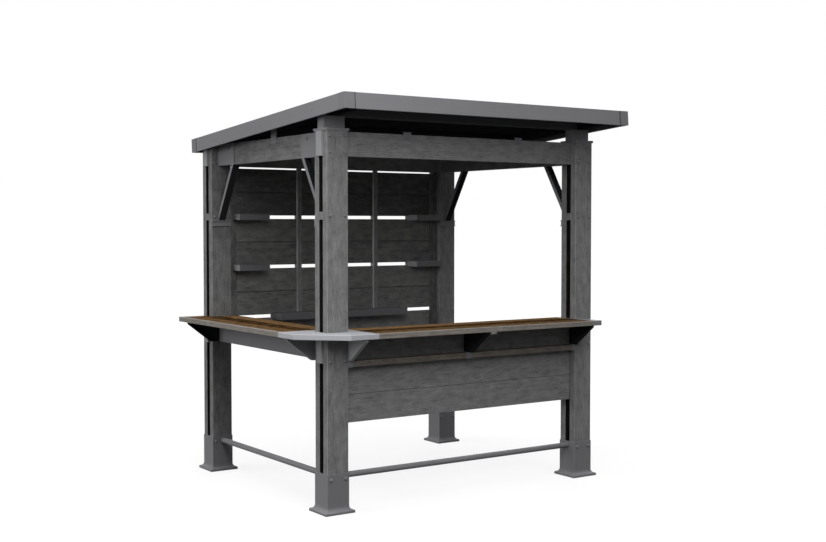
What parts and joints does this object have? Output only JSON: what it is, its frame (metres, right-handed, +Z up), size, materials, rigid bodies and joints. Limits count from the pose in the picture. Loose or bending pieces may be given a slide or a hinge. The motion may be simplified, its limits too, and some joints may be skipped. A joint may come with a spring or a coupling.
{
  "type": "bar gazebo, a four-post garden bar shelter with a mono-pitch roof",
  "caption": "Open-sided garden bar gazebo with a mono-pitch roof, an L-shaped counter round its front and left sides, and a slatted shelf wall at the back.",
  "frame": {"origin": "on the ground, under the middle of the whole outline, which the bar's left edge, the roof's right edge and the roof's front and back edges bound", "axes": "+X along the front to the right, +Y from the front towards the shelf wall, +Z up"},
  "size_m": [2.306, 2.0468, 2.4321],
  "materials": {
    "grey_stained_wood": "matte",
    "brown_stained_wood": "satin",
    "grey_painted_steel": "satin",
    "dark_painted_steel": "matte"
  },
  "bodies": {
    "root": {"post_front_left": "grey_stained_wood", "post_front_right": "grey_stained_wood", "post_rear_left": "grey_stained_wood", "post_rear_right": "grey_stained_wood", "boot_front_left": "grey_painted_steel", "boot_front_right": "grey_painted_steel", "boot_rear_left": "grey_painted_steel", "boot_rear_right": "grey_painted_steel", "post_caps": "grey_painted_steel", "post_spacers": "grey_stained_wood", "slot_covers": "grey_painted_steel", "risers": "grey_painted_steel", "header_front": "grey_stained_wood", "header_rear": "grey_stained_wood", "header_left": "grey_stained_wood", "header_right": "grey_stained_wood", "header_plates": "grey_painted_steel", "header_clips": "grey_painted_steel", "brace_front_left": "grey_painted_steel", "brace_front_right": "grey_painted_steel", "brace_rear_left": "grey_painted_steel", "brace_rear_right": "grey_painted_steel", "brace_shoes": "grey_painted_steel", "roof_deck": "dark_painted_steel", "fascia_front": "grey_painted_steel", "fascia_rear": "grey_painted_steel", "fascia_left": "grey_painted_steel", "fascia_right": "grey_painted_steel", "fascia_corners": "grey_painted_steel", "roof_front_beam": "dark_painted_steel", "roof_rails": "dark_painted_steel", "roof_purlins": "dark_painted_steel", "roof_seats": "grey_painted_steel", "bar_top_front": "brown_stained_wood", "bar_top_left": "brown_stained_wood", "bar_corner": "grey_painted_steel", "bar_edging_front": "grey_stained_wood", "bar_edging_left": "grey_stained_wood", "bar_end_caps": "grey_painted_steel", "gussets_front": "grey_painted_steel", "gussets_left": "grey_painted_steel", "apron_front": "grey_stained_wood", "apron_left": "grey_painted_steel", "ledge": "grey_stained_wood", "ledge_clips": "grey_painted_steel", "panel_board_upper": "grey_stained_wood", "panel_board_lower": "grey_stained_wood", "foot_rail_front": "grey_painted_steel", "foot_rail_left": "grey_painted_steel", "wall_band_1": "grey_stained_wood", "wall_band_2": "grey_stained_wood", "wall_band_3": "grey_stained_wood", "wall_band_4": "grey_stained_wood", "wall_end_trims": "grey_stained_wood", "wall_battens": "grey_stained_wood", "shelves_left": "grey_painted_steel", "shelves_right": "grey_painted_steel", "shelf_long": "grey_painted_steel"}
  },
  "joints": []
}
